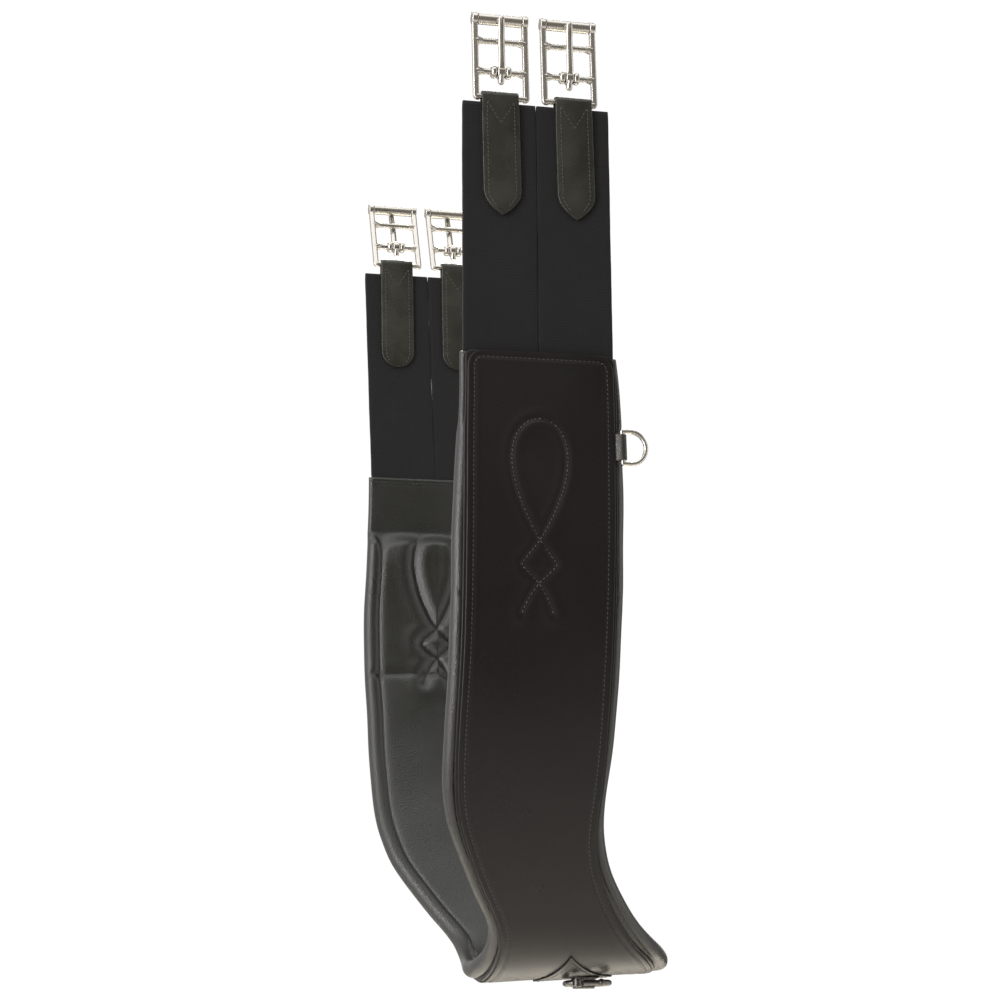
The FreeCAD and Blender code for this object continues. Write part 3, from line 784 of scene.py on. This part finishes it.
def elastic_strap(end, side):
    """One elastic strap, a little uneven in width and sway."""
    foot_x, top_x = STRAP_X[end + "_" + side]
    cy = STRAP_Y[end]
    top, tip = ELASTIC_TOP[end], TAB_TIP[end]
    zs = np.linspace(ELASTIC_FOOT, top, 74)
    phase = STRAP_PHASE[end + "_" + side]
    rings = []
    for z in zs:
        half, h, e = 25.45, 1.5, 0.7
        cx = foot_x + (top_x - foot_x) * max(0.0, (z - BODY_TOP) / (top - BODY_TOP))
        half += 0.05 * math.sin(z * 0.11 + phase) + 0.03 * math.sin(z * 0.37 + phase * 2)
        half -= 0.25 * float(bump(z - top, 3.0))
        sway = 0.25 * math.sin(z * 0.045 + phase) * float(smooth((z - BODY_TOP) / 30))
        sway = sway * float(smooth((tip - z) / 15))
        ring = []
        for sx, sn, a0 in ((1, 1, 0), (-1, 1, 90), (-1, -1, 180), (1, -1, 270)):
            arc = [math.radians(a0 + a) for a in (0, 30, 60, 90)]
            mid_x, mid_y = cx + sx * (half - e), cy + sway + sn * (h - e)
            ring += [(mid_x + e * math.cos(a), mid_y + e * math.sin(a), z) for a in arc]
            if (sx, sn) in ((1, 1), (-1, -1)):
                for f in np.linspace(0.9, -0.9, 13):
                    ring.append((cx + sx * f * (half - e), cy + sway + sn * h, z))
        rings.append(ring)
    name = end + "_" + side
    obj = mesh_object(name + "_elastic_strap", *tube(rings), elastic_cloth, "elastic")
    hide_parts(name + "_elastic")
    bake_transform(obj)


TAB_HALF = 13.0
TAB_THICK = 1.8
FOLD_RADIUS = 3.05


def tab_width(e, pointed):
    """Half width of the tab at distance e from its end."""
    if pointed:
        return max(0.3, TAB_HALF * math.sin(math.pi / 2 * min(1.0, e / 17.0)) ** 0.82)
    e = min(e, TAB_HALF)
    return max(0.3, math.sqrt(max(0.0, TAB_HALF ** 2 - (TAB_HALF - e) ** 2)))


def leaf_offset(z, bar):
    """Distance of the leaf's middle from the strap's middle: close at the strap, wider at the bar."""
    return 2.62 + 0.43 * float(smooth((z - (bar - 18)) / 16))


def buckle_tab(end, side):
    """Folded tab: round inner leaf, fold over the buckle's bar, pointed outer leaf, stitches."""
    name = end + "_" + side
    cx, cy, bar = TAB_X[name], STRAP_Y[end], STRAP_BAR[end]
    out = -1.0 if end == "front" else 1.0
    path, normal, half = [], [], []
    low_in, low_out = TAB_TIP[end], TAB_TIP[end] + 1.5
    ends = [0.0, 0.15, 0.5, 1.0, 1.8, 2.8, 4, 5.5, 7.5, 10, 13, 17]
    inner = [low_in + e for e in ends] + list(np.linspace(low_in + 22, bar, 16))
    for z in inner:
        path.append((cx, cy - out * leaf_offset(z, bar), z))
        normal.append((0, -out, 0))
        half.append(tab_width(z - low_in, False))
    for a in np.radians(np.linspace(12, 168, 13)):
        path.append((cx, cy - out * FOLD_RADIUS * math.cos(a), bar + FOLD_RADIUS * math.sin(a)))
        normal.append((0, -out * math.cos(a), math.sin(a)))
        half.append(TAB_HALF)
    outer = list(np.linspace(bar, low_out + 22, 16)) + [low_out + e for e in ends[::-1]]
    for z in outer:
        path.append((cx, cy + out * leaf_offset(z, bar), z))
        normal.append((0, out, 0))
        half.append(tab_width(z - low_out, True))
    half = [w - 0.3 * float(smooth((p[2] - bar + 14) / 8)) for w, p in zip(half, path)]
    rings = strip(path, normal, (1, 0, 0), half, TAB_THICK, 0.6)
    obj = mesh_object(name + "_tab", *tube(rings), tab_leather, "outer_leather")
    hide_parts(name + "_buckle_tab")
    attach(obj, name + "_strap_end")
    parts = []
    for face, low, pointed in ((1, low_out, True), (-1, low_in, False)):
        rail = np.linspace(bar - 4.5, low + (6.0 if pointed else 4.2), 80)
        for sx in (-1, 1):
            pts = []
            for z in rail:
                w = tab_width(z - low, pointed) - 3.6
                if w > 0.2:
                    pts.append((cx + sx * w, cy + face * out * (leaf_offset(z, bar) + TAB_THICK / 2), z))
            up = [(0, face * out, 0)] * len(pts)
            parts.append(stitches(pts, up, pitch=2.9, length=2.2, radius=0.34))
        top, tip = bar - 4.5, bar - 20.0
        for sx in (-1, 1):
            pts = []
            for f in np.linspace(0, 1, 20):
                z = top + (tip - top) * f
                y = cy + face * out * (leaf_offset(z, bar) + TAB_THICK / 2)
                pts.append((cx + sx * 9.2 * (1 - f), y, z))
            up = [(0, face * out, 0)] * len(pts)
            parts.append(stitches(pts, up, pitch=2.7, length=2.1, radius=0.34))
    obj = mesh_object(name + "_tab_stitching", *merge(parts), tab_thread, "outer_leather")
    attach(obj, name + "_strap_end")


def loop_normals(path, centre):
    """Normals across a bent strap, turned away from the loop's centre."""
    path = np.asarray(path, float)
    tangent = np.gradient(path, axis=0)
    normal = np.stack([tangent[:, 1], -tangent[:, 0]], -1)
    normal /= np.linalg.norm(normal, axis=1)[:, None]
    away = path - np.asarray(centre)
    mid = len(path) // 2
    if (normal[mid] * away[mid]).sum() < 0:
        normal = -normal
    return normal


def ring_keeper(end):
    """Leather loop that holds a side ring, from under the panel round the ring's bar and back."""
    low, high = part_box(end + "_side_ring")
    bar_x = low[0] * 1000 + 1.5
    bar_y = (low[1] + high[1]) * 500
    mid_z = (low[2] + high[2]) * 500
    out = -1.0 if end == "front" else 1.0
    r = 2.2
    pts = [(-14, -1.35), (-6.5, -1.35), (-4.6, -0.7), (-2.4, 1.0)]
    pts += [(r * math.cos(a), r * math.sin(a)) for a in np.radians(np.linspace(125, -110, 17))]
    pts += [(-2.6, -2.25), (-6.5, -2.3), (-14, -2.3)]
    path = polyline([(bar_x + x, n) for x, n in pts], 60)
    normal = loop_normals(path, (bar_x, 0))
    half = [9.2 - 0.7 * float(smooth((x - bar_x + 3.5) / 2.5)) for x, _ in path]
    centre = [(x, bar_y + out * n, mid_z) for x, n in path]
    norm = [(a, out * b, 0) for a, b in normal]
    rings = strip(centre, norm, (0, 0, 1), half, 1.1, 0.35)
    obj = mesh_object(end + "_ring_loop", *tube(rings), tab_leather, "outer_leather")
    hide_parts(end + "_ring_keeper")
    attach(obj, end + "_half")


def clip_loop():
    """Leather loop that holds the clip under the middle, with its two rows of stitches."""
    low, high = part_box("clip_keeper")
    cx = (low[0] + high[0]) * 500
    bar_z = low[2] * 1000 + 3.35
    bar_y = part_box("clip_body")[1][1] * 1000 - 2.0
    r = 2.7

    def foot(s):
        return tuple(place(s, cx, 10.5)[1:])

    pts = [foot(15.5), foot(12), foot(9.4), (bar_y - 2.9, bar_z + 1.6)]
    turn = np.radians(np.linspace(180, 360, 15))
    pts += [(bar_y + r * math.cos(a), bar_z + r * math.sin(a)) for a in turn]
    pts += [(bar_y + 2.9, bar_z + 1.6), foot(2.4), foot(0.6)]
    path = polyline(pts, 60)
    normal = loop_normals(path, (bar_y, bar_z))
    centre = [(cx, y, z) for y, z in path]
    norm = [(0, a, b) for a, b in normal]
    rings = strip(centre, norm, (1, 0, 0), 7.4, 1.25, 0.4)
    obj = mesh_object("clip_loop", *tube(rings), tab_leather, "outer_leather")
    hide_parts("clip_keeper")
    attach(obj, "front_half")
    parts = []
    for s in (14.2, 11.8):
        line = place(s, np.linspace(cx - 6, cx + 6, 12), 11.1)
        up = np.repeat(out_normal([s]), 12, 0)
        parts.append(stitches(line, up, pitch=2.6, length=2.0, radius=0.3))
    obj = mesh_object("clip_loop_stitching", *merge(parts), dark_thread, "outer_leather")
    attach(obj, "front_half")


# ---------------------------------------------------------------- build
padded_body()
leather_sheet("base_leather", ("base_leather", "webbing"), base_left, base_right,
              2.6, base_level, BASE_CORNER, 14)
leather_sheet("outer_panel", ("outer_panel",), panel_left, panel_right,
              7.25, panel_level, PANEL_CORNER, 96)
sew_body()
middle_patch()
for end in ("front", "rear"):
    for side in ("left", "right"):
        elastic_strap(end, side)
        buckle_tab(end, side)
    ring_keeper(end)
clip_loop()


def dress(node, mat):
    """Gives a CAD piece its material."""
    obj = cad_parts[node]
    if not obj.material_slots:
        obj.data.materials.append(mat)
    for entry in obj.material_slots:
        entry.material = mat


for end in ("front", "rear"):
    dress(end + "_side_ring", polished)
    for side in ("left", "right"):
        for part in ("frame", "roller", "tongue"):
            dress(end + "_" + side + "_buckle_" + part, polished)
for node in ("clip_body", "clip_gate", "gate_rivet"):
    dress(node, dark_steel)

# ---------------------------------------------------------------- floor, light and camera
scene = bpy.context.scene


def area(name, place_at, aim, size, power, colour, spread=180):
    """Rectangular light that faces a point."""
    light = bpy.data.lights.new(name, "AREA")
    light.shape = "RECTANGLE"
    light.size, light.size_y = size
    light.energy = power
    light.color = colour
    light.spread = math.radians(spread)
    obj = bpy.data.objects.new(name, light)
    scene.collection.objects.link(obj)
    obj.location = place_at
    obj.rotation_euler = (Vector(aim) - Vector(place_at)).to_track_quat("-Z", "Y").to_euler()


FLOOR = LOW * MM - 0.50
FLOOR_HALF = 1.3
floor_mesh = bpy.data.meshes.new("floor")
corners = [(x * FLOOR_HALF, y * FLOOR_HALF, FLOOR) for x, y in ((-1, -1), (1, -1), (1, 1), (-1, 1))]
floor_mesh.from_pydata(corners, [], [(0, 1, 2, 3)])
floor = bpy.data.objects.new("floor", floor_mesh)
scene.collection.objects.link(floor)
floor_mat, _, floor_shader = new_material("floor")
floor_shader.inputs["Base Color"].default_value = (0.55, 0.54, 0.52, 1)
floor_shader.inputs["Roughness"].default_value = 0.9
floor_mesh.materials.append(floor_mat)

world = bpy.data.worlds.new("studio")
scene.world = world
world.use_nodes = True
wn, wl = world.node_tree.nodes, world.node_tree.links
coord = wn.new("ShaderNodeTexCoord")


def world_value(kind, **settings):
    """New node of the world with its settings."""
    node = wn.new(kind)
    for key, value in settings.items():
        setattr(node, key, value)
    return node


def band(source, low, high):
    """Smooth step of a world value between two limits."""
    node = world_value("ShaderNodeMapRange", interpolation_type="SMOOTHSTEP")
    node.inputs["From Min"].default_value = low
    node.inputs["From Max"].default_value = high
    wl.new(source, node.inputs["Value"])
    return node.outputs["Result"]


def mixed(factor, below, above):
    """Colour of the world on either side of a smooth step."""
    node = world_value("ShaderNodeMix", data_type="RGBA")
    for socket, colour in (("A", below), ("B", above)):
        if isinstance(colour, tuple):
            node.inputs[socket].default_value = (*colour, 1)
        else:
            wl.new(colour, node.inputs[socket])
    wl.new(factor, node.inputs["Factor"])
    return node.outputs["Result"]


def toward(direction):
    """How far a direction of the world points the given way, 1 straight along it."""
    node = world_value("ShaderNodeVectorMath", operation="DOT_PRODUCT")
    node.inputs[1].default_value = direction
    wl.new(coord.outputs["Generated"], node.inputs[0])
    return node.outputs["Value"]


# The room is not even: warm low and grey overhead, light on the camera's left, dark on its right,
# and white only in the fixed direction that the main camera faces.
compass = wn.new("ShaderNodeSeparateXYZ")
wl.new(coord.outputs["Generated"], compass.inputs["Vector"])
room = mixed(band(compass.outputs["Z"], 0.35, 0.85), (0.31, 0.28, 0.235), (0.52, 0.52, 0.52))
room = mixed(band(toward((-0.97073, 0.23915, 0.022)), 0.25, 0.75), room, (0.78, 0.76, 0.80))
room = mixed(band(toward((0.97073, -0.23915, -0.022)), 0.30, 0.70), room, (0.16, 0.155, 0.15))
room = mixed(band(toward((0.237, 0.939, 0.251)), 0.925, 0.952), room, (1.02, 1.02, 1.02))
wl.new(room, wn["Background"].inputs["Color"])
wn["Background"].inputs["Strength"].default_value = 1.0
scene.view_settings.view_transform = "Standard"

MID = (0.0, 0.0, -0.32)
area("key_left", (-1.9, -0.75, -0.15), MID, (2.3, 3.3), 46, (1.0, 0.98, 0.97))
area("strip_left", (-1.62, -0.95, -0.25), MID, (0.16, 1.9), 17, (1.0, 0.97, 1.0))
area("fill_right", (1.9, -0.45, -0.2), MID, (2.0, 3.0), 24, (1.0, 0.98, 0.97))
area("overhead", (-0.3, -0.5, 1.7), MID, (2.6, 2.2), 26, (1.0, 0.99, 0.97))
area("sweep", (0.3, 1.7, 1.2), (0.25, 0.95, FLOOR), (1.6, 0.8), 60, (1.0, 0.93, 0.80), 75)

cam_data = bpy.data.cameras.new("camera")
cam_data.sensor_width = 36.0
cam_data.lens = 82.8
cam_data.clip_start = 0.05
cam = bpy.data.objects.new("camera", cam_data)
scene.collection.objects.link(cam)
eye = Vector((-0.3811, -1.5510, LOW * MM - 0.07405))
right = Vector((0.97073, -0.23915, -0.02200))
up = Vector((-0.03927, -0.24845, 0.96785))
view_back = Vector((-0.23693, -0.93866, -0.25057))
cam.matrix_world = Matrix((
    (right.x, up.x, view_back.x, eye.x),
    (right.y, up.y, view_back.y, eye.y),
    (right.z, up.z, view_back.z, eye.z),
    (0, 0, 0, 1)))
scene.camera = cam
